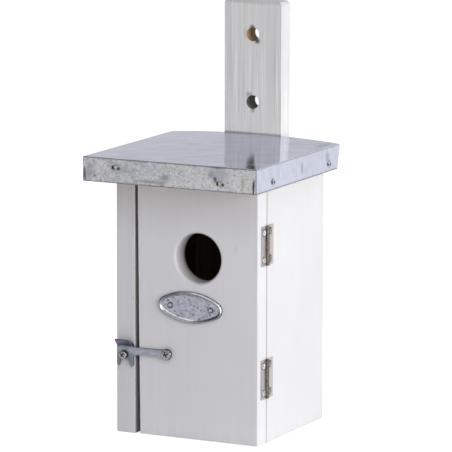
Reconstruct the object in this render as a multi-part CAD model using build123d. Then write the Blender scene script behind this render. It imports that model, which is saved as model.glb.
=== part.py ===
from build123d import *
import math
import os

# Nest box on a hanging batten, millimetres, +Z up, front towards -Y, +X to the right seen from the front.
# The origin lies under the middle of the whole object, on the plane that it stands on.

# Boards
box_width = 101.0
box_depth = 97.2
wall_height = 166.1
side_board = 13.6
door_board = 12.8
back_board = 12.8
floor_board_height = 12.8
arris = 1.4
small_arris = 0.5
seam_arris = 0.3

# Door
door_gap_top = 2.05
door_gap_bottom = 3.75
door_head_gap = 2.0
door_foot_gap = 0.3
seam_gap = 0.45
entrance_diameter = 32.0
entrance_height = 117.8
entrance_rim = 1.6

# Roof
roof_side_overhang = 10.9
roof_front_overhang = 24.2
roof_rear_set_in = 0.2
roof_board_rear_inset = 4.2
roof_thickness = 15.8
sheet_gauge = 0.5
sheet_fold = 0.9
sheet_crown = 2.4
flange_rear_slant = 3.6
corner_slit = 0.5
corner_tab = 2.2
corner_tab_lean = 1.1
corner_tab_height = 9.2

# Hanging batten
batten_width = 41.0
batten_thickness = 12.8
batten_top = 271.2
batten_offset = -1.6
batten_corner = 2.4
hanging_hole_diameter = 9.0
hanging_hole_below_top = 21.8
hanging_hole_spacing = 44.5
batten_screw_head = 7.0
batten_screw_recess = 2.2
batten_screw_pitch = 52.0
batten_screw_lowest = 28.5

# Butt hinges on the right side
hinge_height = 25.4
hinge_wall_leaf_reach = 9.0
hinge_door_leaf_reach = 7.2
hinge_gauge = 0.8
hinge_centre_upper = 127.8
hinge_centre_lower = 42.1
knuckle_radius = 1.2
pin_radius = 0.55
pin_clearance = 0.08
knuckle_wood_gap = 0.05
knuckle_side_gap = 0.2
knuckle_end_gap = 0.12
pin_ahead_of_seam = 1.1
hinge_wall_screw_reach = 5.2
hinge_door_screw_reach = 4.3
hinge_screw_spacing = 17.6
hinge_sink_diameter = 5.2
hinge_screw_head = 4.4
hinge_screw_dome = 0.5

# Latch
latch_gauge = 1.2
latch_lift_off = 0.3
latch_pivot_left = 37.25
latch_height = 54.1
latch_arm_width = 5.0
latch_arm_fillet = 1.9
latch_end_radius = 3.2
latch_pivot_hole_clearance = 0.05
pivot_shank_radius = 1.75
pivot_head_radius = 3.8
pivot_head_height = 2.2
keeper_inset = 5.95
keeper_height = 50.9
keeper_shank_radius = 1.5
keeper_head_radius = 2.9
keeper_head_height = 2.0
head_play = 0.3
fork_width = 12.0
fork_edge_inset = 1.15
fork_drop = 7.4
fork_top = 4.1
fork_notch_radius = 2.1
fork_notch_flare_left = 1.0
fork_notch_flare_right = 3.4
fork_tip_radius = 0.6
fork_lobe_radius = 2.0
lip_length = 5.2
lip_angle = 42.0
lip_corner = 3.2

# Oval plate
plaque_length = 45.0
plaque_height = 20.4
plaque_end_radius = 5.8
plaque_thickness = 1.0
plaque_rim_width = 1.6
plaque_rim_height = 0.9
plaque_centre_right = 3.3
plaque_centre_height = 85.9
plaque_tilt = 2.2
plaque_pin_reach = 14.4
plaque_pin_radius = 1.3
plaque_pin_dome = 0.8

# Roof nails, with each place measured from the roof's own corner
nail_head_radius = 1.3
nail_head_dome = 0.5
front_nail_left_inset = 23.65
front_nail_left_drop = 5.5
front_nail_right_inset = 25.35
front_nail_right_drop = 10.3
side_nail_front_inset = 23.6
side_nail_back_inset = 16.1
side_nail_drop = 10.0

# Places that follow from the sizes above
half_width = box_width / 2
whole_depth = nail_head_dome + roof_front_overhang + box_depth + batten_thickness
front_y = nail_head_dome + roof_front_overhang - whole_depth / 2
door_back_y = front_y + door_board
inside_front_y = door_back_y + seam_gap
back_y = front_y + box_depth
inside_back_y = back_y - back_board
inside_half = half_width - side_board
batten_back_y = back_y + batten_thickness
door_left_top = -inside_half + door_gap_top
door_left_bottom = -inside_half + door_gap_bottom
door_centre_x = (half_width + (door_left_top + door_left_bottom) / 2) / 2
roof_half = half_width + roof_side_overhang
roof_front_y = front_y - roof_front_overhang
roof_back_y = back_y - roof_rear_set_in
roof_top = wall_height + roof_thickness
pin_x = half_width + knuckle_radius + knuckle_wood_gap
pin_y = door_back_y - pin_ahead_of_seam
latch_pivot_x = latch_pivot_left - half_width
hanging_hole_top = batten_top - hanging_hole_below_top

HEAD_SIDES = 12
STANDING = (Align.CENTER, Align.CENTER, Align.MIN)
HANGING = (Align.CENTER, Align.CENTER, Align.MAX)


def block(x0, x1, y0, y1, z0, z1):
    """A straight board between two corners."""
    size = (x1 - x0, y1 - y0, z1 - z0)
    return Pos((x0 + x1) / 2, (y0 + y1) / 2, (z0 + z1) / 2) * Box(*size)


def corner_edges(solid, x, y):
    """The vertical edges of a board that stand at one corner of its plan."""
    near = 0.01
    upright = solid.edges().filter_by(Axis.Z)
    return [e for e in upright if abs(e.center().X - x) < near and abs(e.center().Y - y) < near]


def small_head(base, end, height):
    """A tapering head with few flat sides, that stands on the XY plane or hangs below it."""
    narrowing = (base - end) * math.cos(math.pi / HEAD_SIDES)
    lean = math.degrees(math.atan2(narrowing, abs(height)))
    head = extrude(RegularPolygon(base, HEAD_SIDES), abs(height), taper=lean)
    return head if height > 0 else Rot(180, 0, 0) * head


def pan_head(radius, height):
    """A round screw head with upright sides and a bevelled crown."""
    bevel = height / 2
    side = Cylinder(radius, height - bevel, align=STANDING)
    crown = Pos(0, 0, height - bevel) * Cone(radius, radius - bevel, bevel, align=STANDING)
    return side + crown


def facing_front(x, y, z):
    """A place on a front face, with its local Z pointing out towards the viewer."""
    return Pos(x, y, z) * Rot(90, 0, 0)


def facing_side(x, y, z, side):
    """A place on a side face, with its local Z pointing out to the right (1) or left (-1)."""
    return Pos(x, y, z) * Rot(0, 90 * side, 0)


def outline_edges(board, axis, value):
    """The edges that bound a board's flat face at one value of an axis."""
    near = 0.01
    return board.edges().filter_by_position(axis, value - near, value + near)


def make_left_wall():
    wall = block(-half_width, -inside_half, front_y, back_y, 0, wall_height)
    outer = outline_edges(wall, Axis.X, -half_width)
    wall = fillet([e for e in outer if e.center().Z > 1], arris)
    return fillet(corner_edges(wall, -inside_half, front_y), small_arris)


def make_right_wall():
    wall = block(inside_half, half_width, inside_front_y, back_y, 0, wall_height)
    outer = outline_edges(wall, Axis.X, half_width)
    front = corner_edges(wall, half_width, inside_front_y)
    wall = fillet([e for e in outer if e not in front and e.center().Z > 1], arris)
    seam = [e for e in wall.edges().filter_by(Axis.Z) if abs(e.center().Y - inside_front_y) < 0.01]
    return fillet([e for e in seam if e.center().X > inside_half + side_board / 2], seam_arris)


def make_back_wall():
    return block(-inside_half, inside_half, inside_back_y, back_y, 0, wall_height)


def make_floor_board():
    return block(-inside_half, inside_half, inside_front_y, inside_back_y, 0, floor_board_height)


def make_front_door():
    top = wall_height - door_head_gap
    corners = [
        (door_left_bottom, door_foot_gap),
        (half_width, door_foot_gap),
        (half_width, top),
        (door_left_top, top),
    ]
    outline = Polyline(*corners, close=True)
    panel = extrude(facing_front(0, door_back_y, 0) * make_face(outline), door_board)
    panel = fillet(corner_edges(panel, half_width, front_y), small_arris)
    panel = fillet(corner_edges(panel, half_width, door_back_y), seam_arris)
    hole = facing_front(door_centre_x, door_back_y, entrance_height)
    hole = hole * Cylinder(entrance_diameter / 2, 4 * door_board)
    panel = panel - hole
    rims = panel.edges().filter_by(GeomType.CIRCLE).group_by(Axis.Y)[0]
    return fillet(rims, entrance_rim)


def make_roof_board():
    inner = roof_half - sheet_gauge
    rear = roof_back_y - roof_board_rear_inset
    board = block(-inner, inner, roof_front_y + sheet_gauge, rear, wall_height, roof_top - sheet_gauge)
    top_edges = board.edges().group_by(Axis.Z)[-1].sort_by(Axis.Y)
    return fillet(top_edges[:-1], sheet_fold)


def roof_section(y, inset, crown):
    """The roof's outline at one distance from the front, inset by the sheet's gauge or not at all."""
    half = roof_half - inset
    top = roof_top - inset
    fold = sheet_fold - inset
    flat = half - fold
    bend = fold * math.cos(math.radians(45))
    plane = Plane(origin=(0, y, 0), x_dir=(1, 0, 0), z_dir=(0, -1, 0))
    lines = [
        Line((-half, wall_height), (-half, top - fold)),
        ThreePointArc((-half, top - fold), (-flat - bend, top - fold + bend), (-flat, top)),
        ThreePointArc((-flat, top), (0, top + crown), (flat, top)),
        ThreePointArc((flat, top), (flat + bend, top - fold + bend), (half, top - fold)),
        Line((half, top - fold), (half, wall_height)),
        Line((half, wall_height), (-half, wall_height)),
    ]
    return plane * make_face(lines)


def roof_form(inset, front):
    """The whole roof as one solid block, crowned towards the back."""
    least_crown = sheet_gauge / 50
    return loft([roof_section(front, inset, least_crown), roof_section(roof_back_y, inset, sheet_crown)])


def rear_slant(side):
    """What the slanted rear end of a side flange leaves out."""
    corners = [
        (roof_back_y, roof_top - sheet_fold),
        (roof_back_y - flange_rear_slant, wall_height),
        (roof_back_y, wall_height),
    ]
    plane = Plane(origin=(side * (roof_half - sheet_gauge), 0, 0), x_dir=(0, 1, 0), z_dir=(1, 0, 0))
    return extrude(plane * make_face(Polyline(*corners, close=True)), side * sheet_gauge)


def corner_cut(side):
    """The leaning slit between the front flange and the corner tab of a side flange."""
    foot = roof_half - corner_tab
    head = foot + corner_tab_lean
    low = wall_height - sheet_gauge
    high = wall_height + corner_tab_height
    corners = [(foot, low), (foot - corner_slit, low), (head - corner_slit, high), (head, high)]
    corners = [(side * x, z) for x, z in corners]
    plane = Plane(origin=(0, roof_front_y + sheet_gauge, 0), x_dir=(1, 0, 0), z_dir=(0, -1, 0))
    return extrude(plane * make_face(Polyline(*corners, close=True)), 2 * sheet_gauge)


def make_roof_sheet():
    outer = roof_form(0, roof_front_y)
    front_edges = outer.faces().sort_by(Axis.Y)[0].edges()
    front_fold = [e for e in front_edges if e.center().Z > roof_top - sheet_gauge]
    outer = fillet(front_fold, sheet_fold)
    sheet = outer - roof_form(sheet_gauge, roof_front_y + sheet_gauge)
    for side in (-1, 1):
        sheet -= rear_slant(side)
    return sheet - corner_cut(1) - corner_cut(-1)


def make_hanging_batten():
    left = batten_offset - batten_width / 2
    right = batten_offset + batten_width / 2
    batten = block(left, right, back_y, batten_back_y, 0, batten_top)
    top_corners = [e for e in batten.edges().filter_by(Axis.Y) if e.center().Z > batten_top / 2]
    batten = fillet(top_corners, batten_corner)
    hanging_hole = Cylinder(hanging_hole_diameter / 2, 4 * batten_thickness)
    for z in hanging_hole_heights():
        batten -= facing_front(batten_offset, batten_back_y, z) * hanging_hole
    for z in batten_screw_heights():
        batten -= batten_screw(z)
    return batten


def hanging_hole_heights():
    return [hanging_hole_top - hanging_hole_spacing, hanging_hole_top]


def batten_screw_heights():
    return [batten_screw_lowest + i * batten_screw_pitch for i in range(3)]


def batten_screw(z):
    """A countersunk screw head, flush with the batten's back."""
    place = Pos(batten_offset, batten_back_y, z) * Rot(-90, 0, 0)
    return place * small_head(batten_screw_head / 2, batten_screw_head / 4, -batten_screw_recess)


def make_batten_screws():
    return Compound(children=[batten_screw(z) for z in batten_screw_heights()])


def knuckle_spans(z):
    """The three knuckles of a hinge from bottom to top, as pairs of heights."""
    length = hinge_height / 3
    low = z - hinge_height / 2
    gap = knuckle_end_gap / 2
    return [(low + i * length + gap, low + (i + 1) * length - gap) for i in range(3)]


def hinge_leaf(z, direction, spans):
    """A leaf that reaches forwards (-1) or back (1) from the pin, with its own knuckles."""
    reach = hinge_wall_leaf_reach if direction > 0 else hinge_door_leaf_reach
    edge = pin_y + direction * (knuckle_radius + knuckle_side_gap)
    far = pin_y + direction * reach
    low = z - hinge_height / 2
    high = z + hinge_height / 2
    outer = half_width + hinge_gauge
    leaf = block(half_width, outer, min(edge, far), max(edge, far), low, high)
    for bottom, top in spans:
        leaf += block(half_width, outer, min(edge, pin_y), max(edge, pin_y), bottom, top)
        barrel = Cylinder(knuckle_radius, top - bottom)
        leaf += Pos(pin_x, pin_y, (bottom + top) / 2) * barrel
    bore = Cylinder(pin_radius + pin_clearance, 2 * hinge_height)
    leaf -= Pos(pin_x, pin_y, z) * bore
    rim = hinge_sink_diameter / 2
    sink = Cone(rim - hinge_gauge, rim, hinge_gauge, align=HANGING)
    for place in hinge_screw_places(z, direction):
        leaf -= place * sink
    return leaf


def hinge_screw_places(z, direction):
    """Where a leaf's two screws sit, on its outer face."""
    reach = hinge_wall_screw_reach if direction > 0 else hinge_door_screw_reach
    y = pin_y + direction * reach
    x = half_width + hinge_gauge
    return [facing_side(x, y, z + up * hinge_screw_spacing / 2, 1) for up in (-1, 1)]


def hinge_wall_leaf(z):
    spans = knuckle_spans(z)
    return hinge_leaf(z, 1, [spans[0], spans[2]])


def hinge_door_leaf(z):
    return hinge_leaf(z, -1, [knuckle_spans(z)[1]])


def hinge_pin(z):
    return Pos(pin_x, pin_y, z) * Cylinder(pin_radius, hinge_height)


def hinge_screws(z, direction):
    """Two countersunk screws with raised heads in one leaf."""
    rim = hinge_screw_head / 2
    cone = small_head(rim, rim - hinge_gauge, -hinge_gauge)
    cap = small_head(rim, rim / 2, hinge_screw_dome)
    return Compound(children=[place * (cone + cap) for place in hinge_screw_places(z, direction)])


def latch_outline():
    """The flat shape of the latch: a pivot eye, an arm and a fork open at the bottom."""
    left = -half_width + fork_edge_inset
    right = left + fork_width
    middle = -half_width + keeper_inset
    low = keeper_height - fork_drop
    high = latch_height + fork_top
    arm_high = latch_height + latch_arm_width / 2
    arm = Pos((left + latch_pivot_x) / 2, latch_height) * Rectangle(latch_pivot_x - left, latch_arm_width)
    fork = Pos((left + right) / 2, (low + high) / 2) * Rectangle(fork_width, high - low)
    outline = arm + fork
    inner = [v for v in outline.vertices() if abs(v.X - right) < 0.01 and low + 0.01 < v.Y < high - 0.01]
    outline = fillet(inner, min(latch_arm_fillet, (high - arm_high) * 0.9))
    outline = outline + Pos(latch_pivot_x, latch_height) * Circle(latch_end_radius)
    lobes = [v for v in outline.vertices() if abs(v.Y - low) < 0.01]
    outline = fillet(lobes, fork_lobe_radius)
    arch = Pos(middle, keeper_height) * Circle(fork_notch_radius)
    mouth = Polyline(
        (middle - fork_notch_radius, keeper_height),
        (middle + fork_notch_radius, keeper_height),
        (middle + fork_notch_radius + fork_notch_flare_right, low),
        (middle - fork_notch_radius - fork_notch_flare_left, low),
        close=True,
    )
    outline = outline - arch - make_face(mouth)
    tips = [v for v in outline.vertices() if v.Y < low + fork_tip_radius]
    return fillet(tips, fork_tip_radius)


def make_latch_plate():
    """A strip that turns on the door's screw and drops its fork over the keeper screw."""
    back = front_y - latch_lift_off
    high = latch_height + fork_top
    left = -half_width + fork_edge_inset
    plane = Plane(origin=(0, back, 0), x_dir=(1, 0, 0), z_dir=(0, -1, 0))
    plate = extrude(plane * latch_outline(), latch_gauge)
    eye_hole = pivot_shank_radius + latch_pivot_hole_clearance
    plate -= facing_front(latch_pivot_x, back, latch_height) * Cylinder(eye_hole, 6 * latch_gauge)
    lip = Pos(left + fork_width / 2, lip_length / 2) * Rectangle(fork_width, lip_length)
    far_corner = lip.vertices().group_by(Axis.Y)[-1].sort_by(Axis.X)[-1]
    lip = fillet(far_corner, lip_corner)
    fold = Pos(0, back, high - latch_gauge / 2) * Rot(90 + lip_angle, 0, 0)
    return plate + fold * extrude(lip, latch_gauge)


def screw_with_shank(x, z, shank_radius, head_radius, head_height):
    """A round-headed screw, from the wood's face out past the latch plate."""
    reach = latch_lift_off + latch_gauge + head_play
    place = facing_front(x, front_y, z)
    shank = place * Pos(0, 0, reach / 2) * Cylinder(shank_radius, reach)
    head = place * Pos(0, 0, reach) * pan_head(head_radius, head_height)
    return shank + head


def make_pivot_screw():
    radii = (pivot_shank_radius, pivot_head_radius)
    return screw_with_shank(latch_pivot_x, latch_height, *radii, pivot_head_height)


def make_keeper_screw():
    x = -half_width + keeper_inset
    radii = (keeper_shank_radius, keeper_head_radius)
    return screw_with_shank(x, keeper_height, *radii, keeper_head_height)


def oval(inset):
    """A four-centred oval, smaller than the plate by inset on every side."""
    a = plaque_length / 2
    b = plaque_height / 2
    end = plaque_end_radius
    side = ((a - end) ** 2 + b ** 2 - end ** 2) / (2 * (b - end))
    lean = math.atan2(a - end, side - b)
    joint = (a - end + (end - inset) * math.sin(lean), (end - inset) * math.cos(lean))
    x, y = joint
    tip = a - inset
    crest = b - inset
    arcs = [
        ThreePointArc((x, -y), (tip, 0), (x, y)),
        ThreePointArc((x, y), (0, crest), (-x, y)),
        ThreePointArc((-x, y), (-tip, 0), (-x, -y)),
        ThreePointArc((-x, -y), (0, -crest), (x, -y)),
    ]
    return make_face(arcs)


def make_plaque():
    """An oval plate with a raised, rounded rim."""
    place = facing_front(plaque_centre_right, front_y, plaque_centre_height) * Rot(0, 0, -plaque_tilt)
    field = extrude(oval(0), plaque_thickness)
    rim = extrude(oval(0) - oval(plaque_rim_width), plaque_thickness + plaque_rim_height)
    body = field + rim
    body = chamfer(body.edges().group_by(Axis.Z)[-1], plaque_rim_width / 3)
    return place * body


def make_plaque_pins():
    place = facing_front(plaque_centre_right, front_y - plaque_thickness, plaque_centre_height)
    place = place * Rot(0, 0, -plaque_tilt)
    heads = []
    for side in (-1, 1):
        head = small_head(plaque_pin_radius, plaque_pin_radius / 2, plaque_pin_dome)
        heads.append(place * Pos(side * plaque_pin_reach, 0, 0) * head)
    return Compound(children=heads)


def nail_head():
    return small_head(nail_head_radius, nail_head_radius / 2, nail_head_dome)


def make_front_nails():
    left = facing_front(-roof_half + front_nail_left_inset, roof_front_y, roof_top - front_nail_left_drop)
    right = facing_front(roof_half - front_nail_right_inset, roof_front_y, roof_top - front_nail_right_drop)
    return Compound(children=[left * nail_head(), right * nail_head()])


def make_side_nails(side):
    heads = []
    for y in (roof_front_y + side_nail_front_inset, roof_back_y - side_nail_back_inset):
        heads.append(facing_side(side * roof_half, y, roof_top - side_nail_drop, side) * nail_head())
    return Compound(children=heads)


nodes = {
    "left_wall": make_left_wall(),
    "right_wall": make_right_wall(),
    "back_wall": make_back_wall(),
    "floor_board": make_floor_board(),
    "front_door": make_front_door(),
    "roof_board": make_roof_board(),
    "roof_sheet": make_roof_sheet(),
    "hanging_batten": make_hanging_batten(),
    "batten_screws": make_batten_screws(),
    "latch_plate": make_latch_plate(),
    "latch_pivot_screw": make_pivot_screw(),
    "latch_keeper_screw": make_keeper_screw(),
    "plaque": make_plaque(),
    "plaque_pins": make_plaque_pins(),
    "roof_front_nails": make_front_nails(),
    "roof_right_nails": make_side_nails(1),
    "roof_left_nails": make_side_nails(-1),
}
for level, z in (("upper", hinge_centre_upper), ("lower", hinge_centre_lower)):
    nodes[level + "_hinge_wall_leaf"] = hinge_wall_leaf(z)
    nodes[level + "_hinge_door_leaf"] = hinge_door_leaf(z)
    nodes[level + "_hinge_pin"] = hinge_pin(z)
    nodes[level + "_hinge_wall_screws"] = hinge_screws(z, 1)
    nodes[level + "_hinge_door_screws"] = hinge_screws(z, -1)

os.makedirs("parts", exist_ok=True)
for name, solid in nodes.items():
    export_step(solid, os.path.join("parts", name + ".step"))
    box = solid.bounding_box()
    print(name, [round(v, 2) for v in (*box.min, *box.max)])
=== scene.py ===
import math

import bpy
from mathutils import Matrix, Vector, noise


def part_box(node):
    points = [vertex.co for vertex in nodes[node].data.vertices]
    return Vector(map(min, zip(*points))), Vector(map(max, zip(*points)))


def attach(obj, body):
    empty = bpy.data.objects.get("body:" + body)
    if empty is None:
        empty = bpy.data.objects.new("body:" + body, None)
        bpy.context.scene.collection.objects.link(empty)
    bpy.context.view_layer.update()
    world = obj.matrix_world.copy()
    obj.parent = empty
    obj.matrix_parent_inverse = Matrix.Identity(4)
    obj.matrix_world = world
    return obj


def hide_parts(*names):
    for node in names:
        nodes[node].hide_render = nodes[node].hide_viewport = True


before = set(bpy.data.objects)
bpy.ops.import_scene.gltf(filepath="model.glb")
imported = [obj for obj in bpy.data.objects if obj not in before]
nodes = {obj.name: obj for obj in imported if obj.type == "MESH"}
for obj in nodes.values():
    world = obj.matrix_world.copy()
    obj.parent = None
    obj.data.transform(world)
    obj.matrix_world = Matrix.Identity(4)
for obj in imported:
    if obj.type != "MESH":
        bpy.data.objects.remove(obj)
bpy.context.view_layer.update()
MM = 0.001

# Camera, found by fitting the photograph's perspective to the box
VIEW_AZIMUTH = 26.76
VIEW_ELEVATION = 9.87
VIEW_ROLL = 0.11
VIEW_DISTANCE = 2.614
LENS = 322.1
SENSOR = 36.0
AIM = (-0.00151, 0.01612, 0.12888)

# Light: the world's level, its level in reflections, then each lamp's watts, place and size
SKY = 0.305
GLOSS_SKY = 0.715
LAMPS = {
    "key": (27.3, (1.62, -0.56, 0.36), (1.3, 1.1)),
    "top": (4.0, (0.7, -1.0, 1.3), (0.7, 0.5)),
    "back": (5.0, (0.35, 1.9, 0.8), (0.9, 0.9)),
}
LAMP_AIM = (0, 0, 0.12)
FLOOR_HALF = 9
FLOOR_DROP = 0.2 * MM
FLOOR_GREY = 0.86
FLOOR_LIFT = 0.72

# Paint and wood, as linear colours
PAINT_LOW = (0.70, 0.695, 0.735)
PAINT_HIGH = (0.80, 0.795, 0.84)
PAINT_WORN = (0.56, 0.55, 0.55)
GRIME = (0.40, 0.37, 0.33)
PINE_LIGHT = (0.50, 0.36, 0.21)
PINE_DARK = (0.30, 0.19, 0.095)

# Stains on the zinc, and painted shadow along its hem
ZINC_DULL = (0.22, 0.22, 0.235)
ZINC_DARK = (0.16, 0.16, 0.17)
ZINC_SOOT_AND_SHADOW = (0.11, 0.11, 0.12)

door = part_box("front_door")
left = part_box("left_wall")
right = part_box("right_wall")
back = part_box("back_wall")
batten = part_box("hanging_batten")
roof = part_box("roof_sheet")
SLACK = 0.02 * MM

# The entrance's axis lies midway between the door's edges; the left one leans, by twice this in all
DOOR_LEAN = 0.85 * MM
ENTRANCE = ((door[1].x + door[0].x + DOOR_LEAN) / 2, 117.8 * MM)
ENTRANCE_RADIUS = 16.0 * MM
HOLE_RADIUS = 4.5 * MM
HOLE_BELOW_TOP = 21.8 * MM
HOLE_SPACING = 44.5 * MM
BATTEN_MIDDLE = (batten[0].x + batten[1].x) / 2

# The oval plate, in millimetres and degrees
PLATE_HALF = (22.5, 10.2)
PLATE_END = 5.8
PLATE_TURN = -2.2
PLATE_STEPS = 336
PIN_REACH = 14.4
PIN_RADIUS = 1.3
# Inset from the outline, and height, of each ring of the rolled rim
RIM = (
    (0.0, 0.0), (0.0, 0.7), (0.05, 1.25), (0.18, 1.58), (0.4, 1.8), (0.7, 1.89), (1.0, 1.86),
    (1.28, 1.7), (1.48, 1.42), (1.6, 1.1), (1.72, 0.95), (1.95, 0.9), (2.3, 0.9),
)
FIELD_INSET = 2.5
FIELD_HEIGHT = 0.9
FIELD_RINGS = 56

# Fasteners; the latch's shank is a share of its screw's head
NAIL_RADIUS = 1.3 * MM
NAIL_HEIGHT = 0.44 * MM
HINGE_HEAD_HEIGHT = 0.5 * MM
LATCH_SHANK = 0.48

# The right, up and outward directions of a piece on each side of the box
FACING = {
    "front": ((1, 0, 0), (0, 0, 1), (0, -1, 0)),
    "back": ((-1, 0, 0), (0, 0, 1), (0, 1, 0)),
    "right": ((0, 1, 0), (0, 0, 1), (1, 0, 0)),
    "left": ((0, -1, 0), (0, 0, 1), (-1, 0, 0)),
}


class Shade:
    """One material, built up from its node tree. Lengths are in metres in the object's own frame."""

    def __init__(self, name):
        self.material = bpy.data.materials.new(name)
        self.material.use_nodes = True
        self.tree = self.material.node_tree
        self.shader = self.tree.nodes["Principled BSDF"]
        where = self.add("ShaderNodeTexCoord")
        self.place = where.outputs["Object"]
        self.x, self.y, self.z = self.add("ShaderNodeSeparateXYZ", self.place).outputs
        self.nx, self.ny, self.nz = self.add("ShaderNodeSeparateXYZ", where.outputs["Normal"]).outputs

    def add(self, kind, *values, **settings):
        node = self.tree.nodes.new(kind)
        for key, value in settings.items():
            setattr(node, key, value)
        for socket, value in zip(node.inputs, values):
            self.feed(socket, value)
        return node

    def feed(self, socket, value):
        if isinstance(value, bpy.types.NodeSocket):
            self.tree.links.new(value, socket)
        else:
            socket.default_value = value

    def maths(self, operation, a, b=0.0, c=0.0):
        return self.add("ShaderNodeMath", a, b, c, operation=operation).outputs[0]

    def times(self, a, b):
        return self.maths("MULTIPLY", a, b)

    def span(self, value, low, high, start=0.0, end=1.0):
        """The value's way from low to high, as a number from start to end."""
        return self.add("ShaderNodeMapRange", value, low, high, start, end).outputs[0]

    def ruffle(self, value, cloud, amount):
        """The value, moved up and down by a cloud by at most half the amount."""
        return self.maths("MULTIPLY_ADD", self.maths("SUBTRACT", cloud, 0.5), amount, value)

    def mix(self, factor, a, b):
        """Colour a where the factor is 0 and colour b where it is 1."""
        node = self.add("ShaderNodeMix", data_type="RGBA")
        self.feed(node.inputs[0], factor)
        for socket, colour in ((node.inputs[6], a), (node.inputs[7], b)):
            self.feed(socket, colour if isinstance(colour, bpy.types.NodeSocket) else (*colour, 1))
        return node.outputs[2]

    def stain(self, colour, mask, strength, tint):
        """The colour with a tint over it, as strong as given where the mask is 1."""
        return self.mix(self.times(mask, strength), colour, tint)

    def cloud(self, grain, detail=2.0, rough=0.5, seed=0.0, turn=(0, 0, 0)):
        """Cloudy variation whose patches are grain millimetres long on x, y and z."""
        node = self.add("ShaderNodeMapping", vector_type="TEXTURE")
        self.feed(node.inputs["Vector"], self.place)
        node.inputs["Location"].default_value = (seed * 0.37, seed * 0.61, seed * 0.83)
        node.inputs["Rotation"].default_value = [math.radians(a) for a in turn]
        node.inputs["Scale"].default_value = [g * MM for g in grain]
        texture = self.add("ShaderNodeTexNoise")
        self.feed(texture.inputs["Vector"], node.outputs[0])
        texture.inputs["Scale"].default_value = 1.0
        texture.inputs["Detail"].default_value = detail
        texture.inputs["Roughness"].default_value = rough
        return texture.outputs["Fac"]

    def spot(self, centre, size, soft, ragged):
        """A patch that is 1 at its centre and fades out raggedly at its size, both in millimetres."""
        offset = self.add("ShaderNodeVectorMath", self.place, [c * MM for c in centre], operation="SUBTRACT")
        scaled = self.add("ShaderNodeVectorMath", offset.outputs[0], [s * MM for s in size], operation="DIVIDE")
        reach = self.add("ShaderNodeVectorMath", scaled.outputs[0], operation="LENGTH").outputs["Value"]
        reach = self.ruffle(reach, self.cloud((0.9, 0.9, 0.9), 3.0, 0.6, centre[0]), ragged)
        return self.span(reach, 1.0, 1.0 - soft)

    def reach(self, x, z):
        """How far a point lies from the axis of a bore that runs from front to back."""
        offset = self.add("ShaderNodeVectorMath", self.place, (x, 0, z), operation="SUBTRACT")
        flat = self.add("ShaderNodeVectorMath", offset.outputs[0], (1, 0, 1), operation="MULTIPLY")
        return self.add("ShaderNodeVectorMath", flat.outputs[0], operation="LENGTH").outputs["Value"]

    def edge(self, box):
        """How far a point on a board's face lies from that face's nearest edge."""
        a, b, c = (
            self.maths("MINIMUM", self.maths("SUBTRACT", value, low), self.maths("SUBTRACT", high, value))
            for value, low, high in zip((self.x, self.y, self.z), *box)
        )
        larger = self.maths("MAXIMUM", a, b)
        return self.maths("MAXIMUM", self.maths("MINIMUM", a, b), self.maths("MINIMUM", larger, c))

    def bump(self, height, depth):
        """A relief whose height runs from 0 to 1, depth millimetres deep."""
        node = self.add("ShaderNodeBump")
        node.inputs["Strength"].default_value = 1.0
        node.inputs["Distance"].default_value = depth * MM
        self.feed(node.inputs["Height"], height)
        return node.outputs[0]

    def finish(self, colour, roughness, normal, metallic=0.0):
        for socket, value in (
            ("Base Color", colour), ("Roughness", roughness), ("Normal", normal), ("Metallic", metallic),
        ):
            self.feed(self.shader.inputs[socket], value)
        return self.material


def pine(s, along, seed, tone):
    """Colour and relief of raw pine, with its grain along x, y or z."""
    axis = "xyz".index(along)
    fine = [0.35, 0.35, 0.35]
    wide = [7.0, 7.0, 7.0]
    fine[axis] = 14.0
    wide[axis] = 90.0
    fibre = s.cloud(fine, 3.0, 0.6, seed)
    figure = s.cloud(wide, 2.0, 0.45, seed + 3)
    ring = s.span(s.maths("SINE", s.times(figure, 74.0)), -0.4, 1.0)
    light, dark = ([tone * c for c in wood] for wood in (PINE_LIGHT, PINE_DARK))
    late = [0.45 * a + 0.55 * b for a, b in zip(light, dark)]
    colour = s.mix(ring, light, late)
    return s.mix(s.span(fibre, 0.62, 0.30, 0.0, 0.55), colour, dark), fibre


def in_cavity(s):
    """1 on the faces that look into the nest's cavity, which have no paint."""
    inner = s.maths("LESS_THAN", s.maths("ABSOLUTE", s.x), -left[1].x + SLACK)
    behind = s.maths("GREATER_THAN", s.y, door[1].y - SLACK)
    before = s.maths("LESS_THAN", s.y, back[0].y + SLACK)
    return s.times(inner, s.times(behind, before))


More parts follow.
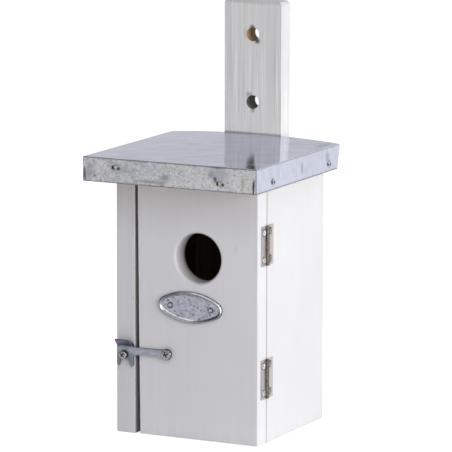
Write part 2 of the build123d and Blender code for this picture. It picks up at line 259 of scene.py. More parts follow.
def painted(name, box, seed, streak, relief, marks=(), bare=in_cavity, tone=(1, 1, 1), extra=None):
    """White paint over upright grain, worn on the arrises and grimy at the foot, with pine where it is bare."""
    s = Shade(name)
    fine = s.cloud((0.55, 0.55, 55.0), 3.0, 0.62, seed)
    broad = s.cloud((3.2, 3.2, 150.0), 2.0, 0.5, seed + 1)
    drift = s.cloud((38.0, 38.0, 60.0), 2.0, 0.5, seed + 2)
    speck = s.cloud((0.5, 0.5, 0.7), 1.0, 0.5, seed + 5)
    level = s.ruffle(0.6, fine, streak * 9.0)
    level = s.ruffle(level, broad, streak * 8.0)
    level = s.ruffle(level, drift, 0.7)
    thin, thick = ([t * c for t, c in zip(tone, paint)] for paint in (PAINT_LOW, PAINT_HIGH))
    colour = s.mix(s.span(level, 0.0, 1.0), thin, thick)
    frayed = s.ruffle(s.ruffle(s.edge(box), drift, 2.4 * MM), fine, 1.6 * MM)
    colour = s.mix(s.span(frayed, 0.75 * MM, 0.1 * MM, 0.0, 0.5), colour, PAINT_WORN)
    foot = s.span(s.ruffle(s.z, broad, 9.0 * MM), 6.0 * MM, 0.0, 0.0, 0.10)
    colour = s.mix(foot, colour, GRIME)
    colour = s.mix(s.span(speck, 0.78, 0.86, 0.0, 0.22), colour, GRIME)
    for centre, size, strength, tint in marks:
        colour = s.stain(colour, s.spot(centre, size, 0.7, 0.5), strength, tint)
    height = s.maths("MULTIPLY_ADD", broad, 0.6, s.times(fine, 0.8))
    raw = bare(s)
    wood, fibre = pine(s, "z", seed, 0.5)
    colour = s.mix(raw, colour, wood)
    if extra:
        colour = extra(s, colour)
    height = s.maths("MULTIPLY_ADD", s.times(raw, fibre), 1.5, height)
    return s.finish(colour, s.span(raw, 0.0, 1.0, 0.48, 0.82), s.bump(height, relief))


def gap_side(s):
    """1 on the left wall's inner face, which has no paint."""
    return s.span(s.nx, 0.75, 0.95)


def gap_painted_shade(s, colour):
    """Painted shade on the strip of the left wall's inner face beside the door, deep in the narrow gap."""
    beside = s.times(gap_side(s), s.maths("LESS_THAN", s.y, door[1].y))
    return s.stain(colour, beside, 0.85, (0.36, 0.345, 0.35))


def entrance_painted_shade(s, colour):
    """Painted shade in the entrance: grey on its rounded arris, and darkening towards the inside."""
    reach = s.reach(*ENTRANCE)
    inside = s.span(reach, ENTRANCE_RADIUS + 1.7 * MM, ENTRANCE_RADIUS + 0.7 * MM)
    depth = s.ruffle(s.maths("SUBTRACT", s.y, door[0].y), s.cloud((1.6, 1.6, 1.6), 3.0, 0.6, 9.0), 1.6 * MM)
    grey = s.mix(s.span(depth, 0.6 * MM, 9.0 * MM), (0.66, 0.65, 0.655), (0.40, 0.385, 0.37))
    dark = s.mix(s.span(depth, 9.5 * MM, 12.8 * MM), grey, (0.05, 0.045, 0.04))
    colour = s.stain(colour, inside, 0.9, dark)
    arris = s.times(s.span(s.ny, -0.98, -0.85), s.span(depth, 2.4 * MM, 1.2 * MM))
    near = s.maths("LESS_THAN", reach, ENTRANCE_RADIUS + 3.0 * MM)
    return s.stain(colour, s.times(arris, near), 0.85, (0.575, 0.57, 0.59))


def seam(s, colour, y, way):
    """Painted shade along the upright seam at y between the door and the right wall, on the piece that lies way of it.
    """
    outer = s.span(s.nx, 0.4, 0.7)
    near = s.span(s.times(s.maths("SUBTRACT", s.y, y), way), 0.55 * MM, 0.15 * MM, 0.0, 0.3)
    hidden = s.span(s.times(s.ny, -way), 0.4, 0.8, 0.0, 0.6)
    hidden = s.times(hidden, s.maths("GREATER_THAN", s.x, -left[1].x))
    return s.mix(s.maths("MAXIMUM", s.times(outer, near), hidden), colour, (0.13, 0.125, 0.12))


# painted shade in the entrance and along the seam
def door_painted_shade(s, colour):
    return seam(s, entrance_painted_shade(s, colour), door[1].y, -1.0)


# painted shade along the seam
def wall_painted_shade(s, colour):
    return seam(s, colour, right[0].y, 1.0)


def hole_walls(s):
    """1 on the bored walls of the batten's hanging holes."""
    found = 0.0
    for drop in (HOLE_BELOW_TOP, HOLE_BELOW_TOP + HOLE_SPACING):
        reach = s.reach(BATTEN_MIDDLE, batten[1].z - drop)
        found = s.maths("MAXIMUM", found, s.maths("LESS_THAN", reach, HOLE_RADIUS + SLACK))
    return found


def batten_wear_and_painted_light(s, colour):
    """Streaks that grow stronger and duller towards the roof, painted light low down by the roof, a darker band just
    under the top, painted contact shadow and dirt along its foot, and bare bores with painted shade in them.
    """
    streak = s.cloud((1.1, 1.1, 62.0), 2.0, 0.55, 21.0)
    low = s.span(s.z, 262 * MM, 205 * MM, 0.35, 1.0)
    colour = s.stain(colour, s.times(s.span(streak, 0.50, 0.68), low), 0.55, (0.50, 0.49, 0.49))
    colour = s.stain(colour, s.times(s.span(streak, 0.48, 0.32), low), 0.7, (0.95, 0.95, 0.955))
    # painted light: the paint is made paler low down, near the roof
    colour = s.mix(s.span(s.z, 225 * MM, 190 * MM, 0.0, 0.4), colour, (0.89, 0.89, 0.87))
    top = s.span(s.z, batten[1].z - 2.6 * MM, batten[1].z - 1.2 * MM)
    colour = s.stain(colour, s.times(top, s.span(s.nz, 0.9, 0.5)), 0.45, (0.45, 0.44, 0.44))
    # painted contact shadow, with dirt, along the foot where the batten meets the roof
    foot_line = s.ruffle(s.z, s.cloud((0.8, 0.8, 0.8), 3.0, 0.6, 31.0), 2.4 * MM)
    foot = s.times(s.span(foot_line, roof[1].z + 1.1 * MM, roof[1].z + 0.2 * MM), s.span(s.ny, -0.5, -0.9))
    colour = s.stain(colour, foot, 0.6, (0.25, 0.25, 0.245))
    # the bores' raw wood is honey-coloured on the upper bore's lit side; painted shade makes the rest of it, and all
    # of the lower bore, dark
    lit = s.span(s.x, BATTEN_MIDDLE - 4.3 * MM, BATTEN_MIDDLE + 2.5 * MM)
    honey = s.mix(lit, (0.42, 0.29, 0.14), (0.05, 0.04, 0.032))
    between = batten[1].z - HOLE_BELOW_TOP - HOLE_SPACING / 2
    bored = s.mix(s.maths("LESS_THAN", s.z, between), honey, (0.055, 0.055, 0.052))
    return s.stain(colour, hole_walls(s), 0.85, bored)


def board_end(s, colour):
    """Painted shade: what shows of the roof board through the sheet's corner slits is made dark."""
    return s.mix(s.span(s.ny, -0.5, -0.9), colour, (0.02, 0.02, 0.022))


def raw_board(name, along, tone, extra=None):
    s = Shade(name)
    colour, fibre = pine(s, along, 11.0, tone)
    if extra:
        colour = extra(s, colour)
    return s.finish(colour, 0.8, s.bump(fibre, 0.12))


def zinc_front(s, blotch):
    """The front flange: mottled on the left, cleaner but pitted towards the right, with flecks and rolling marks."""
    patch = s.cloud((8.0, 8.0, 6.0), 3.0, 0.55, 2.0)
    mottled = s.ruffle(blotch, patch, 0.6)
    colour = s.mix(s.span(mottled, 0.39, 0.61), (0.335, 0.34, 0.375), (0.55, 0.55, 0.58))
    colour = s.stain(colour, s.span(s.x, -22 * MM, 20 * MM), 0.5, (0.62, 0.62, 0.62))
    pitted = s.span(s.cloud((1.3, 1.3, 0.9), 3.0, 0.6, 17.0), 0.55, 0.66)
    colour = s.mix(s.times(pitted, s.span(s.x, -30 * MM, 10 * MM, 0.4, 0.8)), colour, ZINC_DULL)
    flecks = s.span(s.cloud((0.45, 0.45, 0.45), 2.0, 0.6, 3.0), 0.58, 0.66)
    where = s.times(s.span(s.x, -25 * MM, 30 * MM, 0.25, 1.0), s.span(s.z, 171 * MM, 181 * MM, 0.5, 1.0))
    colour = s.mix(s.times(flecks, where), colour, ZINC_SOOT_AND_SHADOW)
    rolling = s.cloud((5.0, 5.0, 0.4), 3.0, 0.6, 13.0)
    return s.mix(s.span(rolling, 0.62, 0.72, 0.0, 0.35), colour, ZINC_DARK)


def zinc_stains_and_shadows():
    """Centre, size, strength and tint of each stain on the roof sheet, and of the painted shadows among them, in
    millimetres.
    """
    face = roof[0].y / MM
    flank = roof[1].x / MM
    stains_and_shadows = [
        # round the front flange's right nail
        ((35.2, face, 177.1), (9.0, 3, 6.2), 0.8, (0.33, 0.335, 0.39)),
        ((29.6, face, 176.6), (2.6, 3, 3.0), 0.5, (0.19, 0.20, 0.23)),
        ((32.6, face, 173.8), (1.7, 3, 2.4), 0.85, (0.07, 0.07, 0.075)),
        ((34.0, face, 181.4), (8.0, 3, 1.2), 0.5, (0.12, 0.12, 0.14)),
        # in the middle of the front flange
        ((-3.0, face, 172.3), (4.2, 3, 2.6), 0.7, ZINC_DULL),
        ((-5.1, face, 168.2), (2.8, 3, 2.3), 0.6, ZINC_DULL),
        ((-15.3, face, 168.8), (11.0, 3, 1.2), 0.5, ZINC_DARK),
        # at its right end, with painted shadow at the corner
        ((51.9, face, 172.3), (1.8, 3, 5.6), 0.75, (0.34, 0.325, 0.255)),
        ((59.3, face, 170.6), (0.9, 3, 6.2), 0.95, (0.03, 0.03, 0.035)),
        # at its left end
        ((-60.6, face, 170.2), (1.2, 3, 5.0), 0.95, (0.05, 0.05, 0.055)),
        ((-57.0, face, 172.4), (3.4, 3, 7.0), 0.45, ZINC_DARK),
        ((-53.0, face, 169.8), (1.3, 3, 1.2), 0.7, (0.10, 0.10, 0.11)),
        # on the top, near the front right corner
        ((51.8, -60.5, 181.8), (1.9, 5.0, 4), 0.75, (0.10, 0.105, 0.12)),
        ((50.6, -55.0, 181.8), (1.2, 8.0, 4), 0.6, (0.14, 0.145, 0.16)),
        ((47.4, -51.5, 181.8), (2.6, 5.0, 4), 0.35, (0.16, 0.17, 0.19)),
        # on the right flange, and on the top above it
        ((flank, -1.8, 174.4), (3, 1.7, 5.6), 0.6, (0.22, 0.23, 0.28)),
        ((flank, 35.4, 176.2), (3, 3.4, 5.0), 0.5, (0.24, 0.25, 0.29)),
        ((56.0, 40.0, 183.0), (4.0, 15.0, 3), 0.5, (0.22, 0.22, 0.25)),
    ]
    # dirt round each nail, and painted shadow close beside its head, laid along the flange
    for x, y, z, along_x, along_y in (
        (-37.75, face, 176.4, 1, 0), (36.05, face, 171.6, 1, 0),
        (flank, -43.4, 171.4, 0, 1), (flank, 38.2, 171.4, 0, 1),
    ):
        for reach, size, drop, strength, tint in (
            (0.0, 3.4, 0.2, 0.55, (0.24, 0.235, 0.23)),
            (-1.5, 1.9, 0.3, 1.0, (0.03, 0.027, 0.024)),
            (2.0, 1.5, 0.8, 0.9, (0.04, 0.036, 0.032)),
        ):
            centre = (x + reach * along_x, y + reach * along_y, z - drop)
            stains_and_shadows.append((centre, (size, size, size), strength, tint))
    return stains_and_shadows


def zinc_sheet():
    """Dull zinc with a smooth top that mirrors at a low angle, mottled and stained on its flanges, with painted shade
    along its hem, in its folds and on its upright corners.
    """
    s = Shade("zinc_sheet_look")
    top = s.span(s.nz, 0.55, 0.9)
    side = s.span(s.maths("ABSOLUTE", s.nx), 0.6, 0.9)
    blotch = s.cloud((1.6, 1.6, 1.3), 5.0, 0.62, 1.0)
    slant = s.cloud((14.0, 5.0, 9.0), 4.0, 0.6, 4.0, turn=(30, 0, 0))
    flank = s.mix(s.span(slant, 0.36, 0.64), (0.51, 0.53, 0.61), (0.575, 0.60, 0.685))
    sweep = s.cloud((17.0, 9.0, 10.0), 5.0, 0.62, 5.0, turn=(0, 0, 25))
    lid = s.mix(s.span(sweep, 0.37, 0.63), (0.51, 0.52, 0.56), (0.67, 0.68, 0.72))
    calm = s.cloud((30.0, 30.0, 30.0), 2.0, 0.5, 6.0)
    lid = s.mix(s.span(calm, 0.4, 0.62, 0.0, 0.3), lid, (0.57, 0.585, 0.64))
    colour = s.mix(top, s.mix(side, zinc_front(s, blotch), flank), lid)
    for centre, size, strength, tint in zinc_stains_and_shadows():
        colour = s.stain(colour, s.spot(centre, size, 0.6, 0.7), strength, tint)
    # painted shadow along the sheet's lower hem
    hem = s.span(s.ruffle(s.z, blotch, 1.6 * MM), roof[0].z + 1.0 * MM, roof[0].z + 0.3 * MM, 0.0, 0.8)
    colour = s.mix(hem, colour, ZINC_SOOT_AND_SHADOW)
    # painted shade in the rounded folds between the top and the flanges
    fold = s.maths("MINIMUM", s.span(s.nz, 0.15, 0.5), s.span(s.nz, 0.97, 0.75))
    colour = s.stain(colour, fold, 0.75, (0.12, 0.12, 0.14))
    # painted shade on the rounded upright corners
    corner = s.maths(
        "MINIMUM", s.span(s.maths("ABSOLUTE", s.nx), 0.15, 0.35), s.span(s.maths("ABSOLUTE", s.ny), 0.15, 0.35)
    )
    colour = s.stain(colour, corner, 0.85, (0.10, 0.10, 0.115))
    dull = s.span(blotch, 0.35, 0.65, 0.40, 0.52)
    sleek = s.span(sweep, 0.36, 0.64, 0.085, 0.15)
    rough = s.maths("MULTIPLY_ADD", top, s.maths("SUBTRACT", sleek, dull), dull)
    wave = s.times(s.cloud((55.0, 38.0, 40.0), 1.0, 0.4, 8.0), 0.6)
    height = s.maths("MULTIPLY_ADD", blotch, s.span(top, 0.0, 1.0, 0.03, 0.003), wave)
    s.shader.inputs["Specular Tint"].default_value = (0.90, 0.925, 1.0, 1)
    return s.finish(colour, rough, s.bump(height, 0.3), 1.0)


def aged_metal(name, low, high, grain, rough, relief, dark=(0.05, 0.05, 0.055), shade=None):
    """Bare metal in two tones. Its cavity values darken it above 0, as painted shade and painted dark reflection on
    the screws and the plate's rim, and lighten it below 0 as a painted highlight.
    """
    s = Shade(name)
    mottle = s.cloud(grain, 4.0, 0.6, 2.0)
    colour = s.mix(s.span(mottle, 0.36, 0.64), low, high)
    if shade:
        colour = shade(s, colour, mottle)
    cavity = s.add("ShaderNodeAttribute", attribute_name="cavity").outputs["Fac"]
    colour = s.mix(s.span(cavity, 0.0, 1.0, 0.0, 0.9), colour, dark)
    # painted highlight where the cavity value is below 0
    colour = s.mix(s.span(cavity, 0.0, -1.0), colour, (0.90, 0.90, 0.90))
    return s.finish(colour, s.span(mottle, 0.35, 0.65, *rough), s.bump(mottle, relief), 1.0)


def latch_shade(s, colour, mottle):
    """The latch is darkest in its bent lip, partly with painted shade, and has a painted shadow close to the keeper;
    it is greyer down the fork.
    """
    low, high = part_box("latch_keeper_screw")
    keeper = (low + high) / 2 / MM
    streak = s.cloud((7.0, 3.0, 0.8), 3.0, 0.6, 4.0)
    colour = s.mix(s.span(streak, 0.53, 0.66, 0.0, 0.5), colour, (0.14, 0.155, 0.18))
    down = s.ruffle(s.z, mottle, 3.0 * MM)
    fork = s.times(s.span(down, 53.8 * MM, 50.0 * MM), s.span(s.x, -35.0 * MM, -38.5 * MM))
    colour = s.stain(colour, fork, 0.75, (0.13, 0.15, 0.155))
    head_side = s.times(s.span(down, 57.5 * MM, 55.0 * MM), s.span(s.x, -38.5 * MM, -42.0 * MM))
    colour = s.stain(colour, head_side, 0.45, (0.15, 0.175, 0.185))
    # painted shadow in the notch beside the keeper
    beside = s.spot((keeper.x + 0.9, keeper.y, keeper.z + 0.5), (3.7, 9.0, 3.7), 0.45, 0.3)
    colour = s.stain(colour, beside, 0.85, (0.045, 0.05, 0.055))
    # the bent lip: dark near the fold, partly its own colour and partly painted shade under the lip, and greyer on top
    colour = s.stain(colour, s.span(down, 55.6 * MM, 57.2 * MM), 0.85, (0.06, 0.07, 0.10))
    return s.stain(colour, s.span(down, 58.6 * MM, 60.0 * MM), 0.6, (0.16, 0.175, 0.20))


def hinge_shade(s, colour, mottle):
    """Brown rust in the knuckles, thinning out over the leaves. The wall leaf is the paler one."""
    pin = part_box("upper_hinge_pin")
    middle = (pin[0].y + pin[1].y) / 2
    gap = s.maths("ABSOLUTE", s.maths("SUBTRACT", s.y, middle))
    rust = s.span(s.ruffle(gap, mottle, 2.6 * MM), 2.1 * MM, 0.9 * MM)
    brown = s.mix(s.cloud((0.8, 0.8, 0.8), 3.0, 0.6, 7.0), (0.018, 0.015, 0.013), (0.17, 0.135, 0.105))
    pale = s.span(s.y, middle - 1.5 * MM, middle + 1.5 * MM, 0.0, 0.6)
    colour = s.mix(pale, colour, (0.52, 0.455, 0.435))
    return s.stain(colour, rust, 0.95, brown)


def placed(way, origin, turn=0.0, tilt=0.0):
    """Moves a piece modelled about the z axis onto a face, turned about its own axis and a little askew."""
    axes = Matrix(FACING[way]).transposed().to_4x4()
    spin = Matrix.Rotation(math.radians(turn), 4, "Z") @ Matrix.Rotation(math.radians(tilt), 4, "X")
    return Matrix.Translation(origin) @ axes @ spin


class Build:
    """Collects the rings of one piece, with a cavity value at each point."""

    def __init__(self):
        self.points = []
        self.faces = []
        self.cavity = []

    def rings(self, rings, place):
        """Joins closed rings of (x, y, z, cavity), outermost first, and closes the last one."""
        start = len(self.points)
        steps = len(rings[0])
        for ring in rings:
            for x, y, z, cavity in ring:
                self.points.append(place @ Vector((x, y, z)))
                self.cavity.append(cavity)
        for i in range(len(rings) - 1):
            for j in range(steps):
                k = (j + 1) % steps
                a = start + i * steps
                b = a + steps
                self.faces.append((a + j, a + k, b + k, b + j))
        self.faces.append([start + (len(rings) - 1) * steps + j for j in range(steps)])

    def piece(self, node, material, body):
        """Makes the piece, which stands for the plain node."""
        name = node + "_look"
        mesh = bpy.data.meshes.new(name)
        mesh.from_pydata(self.points, [], self.faces)
        mesh.polygons.foreach_set("use_smooth", [True] * len(mesh.polygons))
        mesh.attributes.new("cavity", "FLOAT", "POINT").data.foreach_set("value", self.cavity)
        mesh.materials.append(material)
        made = bpy.data.objects.new(name, mesh)
        bpy.context.scene.collection.objects.link(made)
        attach(made, body)
        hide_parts(node)


def smooth(value):
    value = min(1.0, max(0.0, value))
    return value * value * (3 - 2 * value)


def circle(steps):
    return [2 * math.pi * j / steps for j in range(steps)]


def cross(x, y, reach, width):
    """How deep a cross recess is at a point, from 0 outside it to 1 at its middle."""
    along = max(abs(x), abs(y))
    across = min(abs(x), abs(y))
    end = smooth((reach - along) / (0.35 * reach))
    wall = smooth((width / 2 - across) / (0.28 * width) + 0.5)
    return end * wall


def head(build, place, radius, height, steps, rings, roundness, skirt=0.0, drive=0.0, depth=0.0):
    """A round head on a short skirt. The cross recess reaches drive of its radius, depth of its height deep."""
    made = []
    if skirt:
        # painted shade on the skirt under the head
        made.append([(radius * math.cos(t), radius * math.sin(t), -skirt, 0.7) for t in circle(steps)])
    for i in range(rings):
        r = radius * (1 - (i / rings) ** 1.7)
        z = height * (1 - (r / radius) ** roundness) ** (1 / roundness)
        # painted dark reflection towards the head's rim, and painted shade in its cross recess
        rim = smooth((r / radius - 0.72) / 0.24) * 0.8
        ring = []
        for t in circle(steps):
            x = r * math.cos(t)
            y = r * math.sin(t)
            sunk = cross(x, y, drive * radius, 0.36 * drive * radius) if drive else 0.0
            ring.append((x, y, z - depth * height * sunk, max(sunk, rim)))
        made.append(ring)
    build.rings(made, place)


def shank(build, place, radius, length):
    ring = [(radius * math.cos(t), radius * math.sin(t)) for t in circle(32)]
    # painted shade on the shank under the head
    build.rings([[(x, y, z, 0.8) for x, y in ring] for z in (-length, 0.0)], place)


def oval(a, b, end, steps):
    """Points and outward directions of a four-centred oval with end arcs of the given radius."""
    side = ((a - end) ** 2 + b ** 2 - end ** 2) / (2 * (b - end))
    lean = math.atan2(a - end, side - b)
    found = []
    for t in circle(steps):
        way_x = math.cos(t + math.pi / steps)
        way_y = math.sin(t + math.pi / steps)
        # each direction meets the oval on an end arc or on one of the flatter side arcs
        if abs(way_x) > math.sin(lean):
            point = (math.copysign(a - end, way_x) + end * way_x, end * way_y)
        else:
            point = (side * way_x, side * way_y - math.copysign(side - b, way_y))
        found.append((*point, way_x, way_y))
    return found


def field(x, y):
    """Height and cavity of the plate's field, a little uneven, with soft dents and a dish round each pin."""
    dimple = noise.voronoi(Vector((x * 0.30, y * 0.36, 4.0)))[0][0]
    dent = smooth((0.30 - dimple) / 0.14)
    z = FIELD_HEIGHT + 0.10 * noise.noise(Vector((x * 0.34, y * 0.34, 7.0)))
    z += 0.03 * noise.noise(Vector((x * 1.3, y * 1.3, 2.0)))
    ridge = abs(noise.noise(Vector((x * 0.22 + 9.0, y * 0.30, 1.0))))
    crease = smooth((0.05 - ridge) / 0.05)
    dish = max(smooth((2.3 - math.hypot(x - pin, y)) / 0.6) for pin in (-PIN_REACH, PIN_REACH))
    return z - 0.22 * dent + 0.12 * crease - 0.15 * dish, max(0.6 * dent, 0.85 * dish)


def rim_painted_light(nx, ny, inset):
    """The rim's cavity value: a painted highlight (below 0) on the slopes that face up to the right, painted dark
    reflection on the others.
    """
    toward = 0.75 * nx + 0.66 * ny
    outer = smooth((0.62 - toward) / 0.2) * (0.95 if ny > 0 else 0.45) - 0.8 * smooth((toward - 0.62) / 0.1)
    inner = smooth((toward + 0.58) / 0.25) * (0.95 if ny < 0 else 0.5)
    inner -= 0.8 * smooth((-0.55 - toward) / 0.1) * smooth((-ny - 0.1) / 0.5)
    if inset < 0.1:
        return max(outer, 0.55)
    way = smooth((inset - 0.5) / 0.9)
    return outer * (1 - way) + inner * way


def plate(build, place):
    """The oval plate: its rolled rim, then the field in rings that close in on the middle."""
    outline = oval(*PLATE_HALF, PLATE_END, PLATE_STEPS)
    rings = [
        [(x - inset * nx, y - inset * ny, z, rim_painted_light(nx, ny, inset)) for x, y, nx, ny in outline] for inset, z in RIM
    ]
    inner = [(x - FIELD_INSET * nx, y - FIELD_INSET * ny) for x, y, nx, ny in outline]
    for i in range(FIELD_RINGS):
        size = 1 - i / FIELD_RINGS
        rings.append([(x * size, y * size, *field(x * size, y * size)) for x, y in inner])
    build.rings([[(x * MM, y * MM, z * MM, cavity) for x, y, z, cavity in ring] for ring in rings], place)


def make_materials():
    face = left[0].y / MM
    flank = -left[1].x / MM
    batten_face = batten[0].y / MM
    looks = {
        "front_door": painted(
            "door_paint", door, 1.0, 0.05, 0.035, extra=door_painted_shade,
            marks=[
                ((35.0, face, 126.6), (1.2, 3, 3.4), 0.35, (0.52, 0.52, 0.54)),
                ((-13.2, face, 53.6), (6.5, 3, 6.5), 0.3, (0.36, 0.36, 0.36)),
            ],
        ),
        "left_wall": painted(
            "left_wall_paint", left, 2.0, 0.09, 0.05, bare=gap_side, extra=gap_painted_shade, tone=(0.93, 0.925, 0.92),
            marks=[
                ((-38.6, face, 138.5), (0.5, 2, 13.0), 0.55, (0.42, 0.42, 0.42)),
                ((-38.0, face, 88.1), (0.9, 2, 1.6), 0.45, (0.60, 0.42, 0.38)),
            ],
        ),
        "right_wall": painted(
            "right_wall_paint", right, 3.0, 0.03, 0.035, extra=wall_painted_shade, tone=(0.97, 0.97, 0.945),
            marks=[((flank, 11.5, 72.2), (3, 3.6, 2.2), 0.12, (0.50, 0.50, 0.50))],
        ),
        "back_wall": painted("back_wall_paint", back, 4.0, 0.09, 0.06),
        "floor_board": raw_board("floor_pine", "x", 0.7),
        "roof_board": raw_board("roof_pine", "x", 1.0, board_end),
        "hanging_batten": painted(
            "batten_paint", batten, 5.0, 0.26, 0.11, bare=hole_walls, extra=batten_wear_and_painted_light, tone=(0.945, 0.94, 0.905),
            marks=[
                ((-6.7, batten_face, 249.8), (2.4, 3, 5.0), 0.5, (0.55, 0.40, 0.31)),
                ((1.5, batten_face, 245.2), (2.8, 3, 2.5), 1.0, (0.05, 0.045, 0.04)),
                ((-2.0, batten_face, 254.2), (2.4, 3, 1.9), 0.9, (0.09, 0.08, 0.065)),
                ((-4.2, batten_face, 209.6), (2.5, 3, 3.0), 1.0, (0.06, 0.06, 0.058)),
                ((-1.4, batten_face, 200.2), (2.0, 3, 2.8), 1.0, (0.07, 0.07, 0.066)),
                ((3.4, batten_face, 204.0), (1.2, 3, 3.4), 0.35, (0.25, 0.25, 0.24)),
            ],
        ),
        "roof_sheet": zinc_sheet(),
        "latch_plate": aged_metal(
            "galvanised_look", (0.235, 0.255, 0.305), (0.36, 0.375, 0.43), (3.4, 3.4, 1.3), (0.38, 0.5), 0.03,
            shade=latch_shade,
        ),
    }
    nickel = aged_metal(
        "nickel_look", (0.36, 0.345, 0.34), (0.52, 0.50, 0.49), (0.9, 0.9, 1.5), (0.3, 0.46), 0.03, shade=hinge_shade
    )
    for level in ("upper", "lower"):
        for part in ("wall_leaf", "door_leaf", "pin"):
            looks[f"{level}_hinge_{part}"] = nickel
    for name, material in looks.items():
        mesh = nodes[name].data
        mesh.materials.clear()
        mesh.materials.append(material)


def latch_screw(node, body, height, turn, metal):
    """A round-headed screw on the front, whose shank the latch turns about or hooks over."""
    low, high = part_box(node)
    middle = (low + high) / 2
    radius = (high.x - low.x) / 2
    seat = low.y + height
    place = placed("front", (middle.x, seat, middle.z), turn)
    build = Build()
    shank(build, place, radius * LATCH_SHANK, high.y - seat)
    head(build, place, radius, height, 96, 34, 2.6, drive=0.62, depth=0.62)
    build.piece(node, metal, body)


def hinge_screws(node, body, turns, metal):
    low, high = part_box(node)
    radius = (high.y - low.y) / 2
    build = Build()
    for z, turn in zip((low.z + radius, high.z - radius), turns):
        place = placed("right", (high.x - HINGE_HEAD_HEIGHT, (low.y + high.y) / 2, z), turn)
        head(build, place, radius, HINGE_HEAD_HEIGHT, 56, 18, 2.0, skirt=0.4 * MM, drive=0.66, depth=1.0)
    build.piece(node, metal, body)


def batten_screws(metal):
    """Three countersunk screws, evenly spaced, whose flat heads stand just proud of the batten's rear."""
    low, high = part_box("batten_screws")
    radius = (high.x - low.x) / 2
    step = (high.z - low.z - 2 * radius) / 2
    build = Build()
    for i in range(3):
        spot = ((low.x + high.x) / 2, high.y - 0.25 * MM, low.z + radius + i * step)
        place = placed("back", spot, 30 + 40 * i)
        head(build, place, radius, 0.2 * MM, 56, 18, 2.0, skirt=1.5 * MM, drive=0.66, depth=4.0)
    build.piece("batten_screws", metal, "box")


def nails(node, way, spots, turn, metal):
    """Domed nail heads, each driven in a little askew."""
    build = Build()
    for spot, tilt in spots:
        head(build, placed(way, spot, turn, tilt), NAIL_RADIUS, NAIL_HEIGHT, 40, 10, 2.2, skirt=0.1 * MM)
    build.piece(node, metal, "box")


def make_fasteners():
    bright = aged_metal(
        "bright_screw_look", (0.17, 0.17, 0.17), (0.40, 0.40, 0.395), (0.9, 0.9, 0.9), (0.14, 0.26), 0.012
    )
    dull = aged_metal("dull_screw_look", (0.22, 0.21, 0.20), (0.42, 0.41, 0.40), (0.7, 0.7, 0.7), (0.24, 0.4), 0.015)
    shiny = aged_metal("shiny_screw_look", (0.55, 0.54, 0.53), (0.82, 0.81, 0.80), (0.7, 0.7, 0.7), (0.2, 0.35), 0.012)
    nail = aged_metal("nail_look", (0.20, 0.20, 0.20), (0.66, 0.66, 0.66), (0.9, 0.9, 0.9), (0.25, 0.45), 0.03)
    latch_screw("latch_pivot_screw", "door", 2.2 * MM, 22, bright)
    latch_screw("latch_keeper_screw", "box", 2.0 * MM, 48, bright)
    for level in ("upper", "lower"):
        hinge_screws(f"{level}_hinge_wall_screws", "box", (15, 62), dull)
        hinge_screws(f"{level}_hinge_door_screws", "door", (35, 82), shiny)
    batten_screws(dull)
    low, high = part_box("roof_front_nails")
    upper = (low.x + NAIL_RADIUS, high.y, high.z - NAIL_RADIUS)
    lower = (high.x - NAIL_RADIUS, high.y, low.z + NAIL_RADIUS)
    nails("roof_front_nails", "front", ((upper, 8), (lower, -7)), 40, nail)
    for way in ("right", "left"):
        low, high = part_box(f"roof_{way}_nails")
        x = low.x if way == "right" else high.x
        z = (low.z + high.z) / 2
        spots = (((x, low.y + NAIL_RADIUS, z), 6), ((x, high.y - NAIL_RADIUS, z), -8))
        nails(f"roof_{way}_nails", way, spots, 70, nail)


def make_plate():
    cast = aged_metal(
        "cast_plate_look", (0.24, 0.25, 0.295), (0.39, 0.40, 0.455), (3.0, 3.0, 2.0), (0.2, 0.34), 0.02,
        dark=(0.045, 0.045, 0.052),
    )
    low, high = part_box("plaque")
    middle = (low + high) / 2
    build = Build()
    plate(build, placed("front", (middle.x, high.y, middle.z), PLATE_TURN))
    build.piece("plaque", cast, "door")
    low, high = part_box("plaque_pins")
    radius = PIN_RADIUS * MM
    build = Build()
    for x, z in ((low.x + radius, high.z - radius), (high.x - radius, low.z + radius)):
        place = placed("front", (x, high.y, z))
        head(build, place, radius, high.y - low.y, 40, 12, 2.0, skirt=0.3 * MM)
    build.piece("plaque_pins", cast, "door")


def make_camera():
    data = bpy.data.cameras.new("camera")
    data.lens = LENS
    data.sensor_width = SENSOR
    data.clip_start = 0.05
    data.clip_end = 50.0
    camera = bpy.data.objects.new("camera", data)
    bpy.context.scene.collection.objects.link(camera)
    azimuth = math.radians(VIEW_AZIMUTH)
    elevation = math.radians(VIEW_ELEVATION)
    level = math.cos(elevation)
    back_way = Vector((math.sin(azimuth) * level, -math.cos(azimuth) * level, math.sin(elevation)))
    camera.location = Vector(AIM) + back_way * VIEW_DISTANCE
    turn = (-back_way).to_track_quat("-Z", "Y")
    camera.rotation_mode = "QUATERNION"
    camera.rotation_quaternion = turn @ Matrix.Rotation(math.radians(VIEW_ROLL), 3, "Z").to_quaternion()
    bpy.context.scene.camera = camera


def seen_rays(tree, gloss=1.0):
    """1 for camera rays and a level of its own for the rays of metal and clear materials."""
    path = tree.nodes.new("ShaderNodeLightPath")
    found = path.outputs["Is Camera Ray"]
    for name in ("Is Glossy Ray", "Is Transmission Ray"):
        level = tree.nodes.new("ShaderNodeMath")
        level.operation = "MULTIPLY"
        tree.links.new(path.outputs[name], level.inputs[0])
        level.inputs[1].default_value = gloss
        node = tree.nodes.new("ShaderNodeMath")
        node.operation = "MAXIMUM"
        tree.links.new(found, node.inputs[0])
        tree.links.new(level.outputs[0], node.inputs[1])
        found = node.outputs[0]
    return found


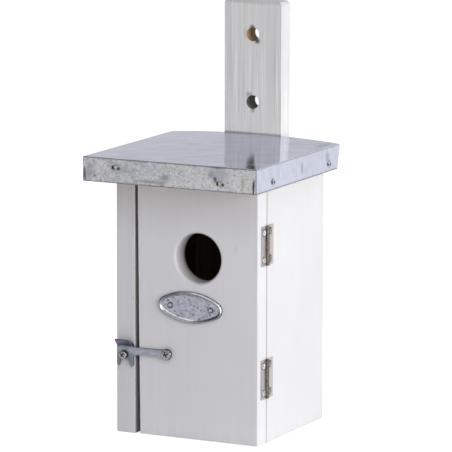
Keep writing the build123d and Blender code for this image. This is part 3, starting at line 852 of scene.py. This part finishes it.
def make_floor():
    """A pale floor that shows white to the camera and in reflections, and keeps the object's shadow."""
    mesh = bpy.data.meshes.new("floor")
    corners = [(x * FLOOR_HALF, y * FLOOR_HALF, 0) for x, y in ((-1, -1), (1, -1), (1, 1), (-1, 1))]
    mesh.from_pydata(corners, [], [(0, 1, 2, 3)])
    floor = bpy.data.objects.new("floor", mesh)
    floor.location.z = -FLOOR_DROP
    bpy.context.scene.collection.objects.link(floor)
    material = bpy.data.materials.new("floor")
    material.use_nodes = True
    tree = material.node_tree
    shader = tree.nodes["Principled BSDF"]
    shader.inputs["Base Color"].default_value = (FLOOR_GREY, FLOOR_GREY, FLOOR_GREY, 1)
    shader.inputs["Roughness"].default_value = 1.0
    shader.inputs["Specular IOR Level"].default_value = 0.0
    shader.inputs["Emission Color"].default_value = (1, 1, 1, 1)
    lift = tree.nodes.new("ShaderNodeMath")
    lift.operation = "MULTIPLY"
    tree.links.new(seen_rays(tree), lift.inputs[0])
    lift.inputs[1].default_value = FLOOR_LIFT
    tree.links.new(lift.outputs[0], shader.inputs["Emission Strength"])
    mesh.materials.append(material)


def make_light():
    """The world lights the object at one level and shows brighter in reflections; three lamps stand round it."""
    world = bpy.data.worlds.new("world")
    bpy.context.scene.world = world
    world.use_nodes = True
    tree = world.node_tree
    sky = tree.nodes["Background"]
    sky.inputs["Color"].default_value = (1, 1, 1, 1)
    level = tree.nodes.new("ShaderNodeMapRange")
    tree.links.new(seen_rays(tree, (GLOSS_SKY - SKY) / (1 - SKY)), level.inputs["Value"])
    level.inputs["To Min"].default_value = SKY
    level.inputs["To Max"].default_value = 1.0
    tree.links.new(level.outputs[0], sky.inputs["Strength"])
    for name, (power, spot, size) in LAMPS.items():
        lamp = bpy.data.lights.new(name, "AREA")
        lamp.energy = power
        lamp.shape = "RECTANGLE"
        lamp.size, lamp.size_y = size
        made = bpy.data.objects.new(name, lamp)
        made.location = spot
        aim = Vector(LAMP_AIM) - Vector(spot)
        made.rotation_euler = aim.to_track_quat("-Z", "Y").to_euler()
        bpy.context.scene.collection.objects.link(made)


make_camera()
bpy.context.scene.view_settings.view_transform = "Standard"
make_materials()
make_fasteners()
make_plate()
make_floor()
make_light()
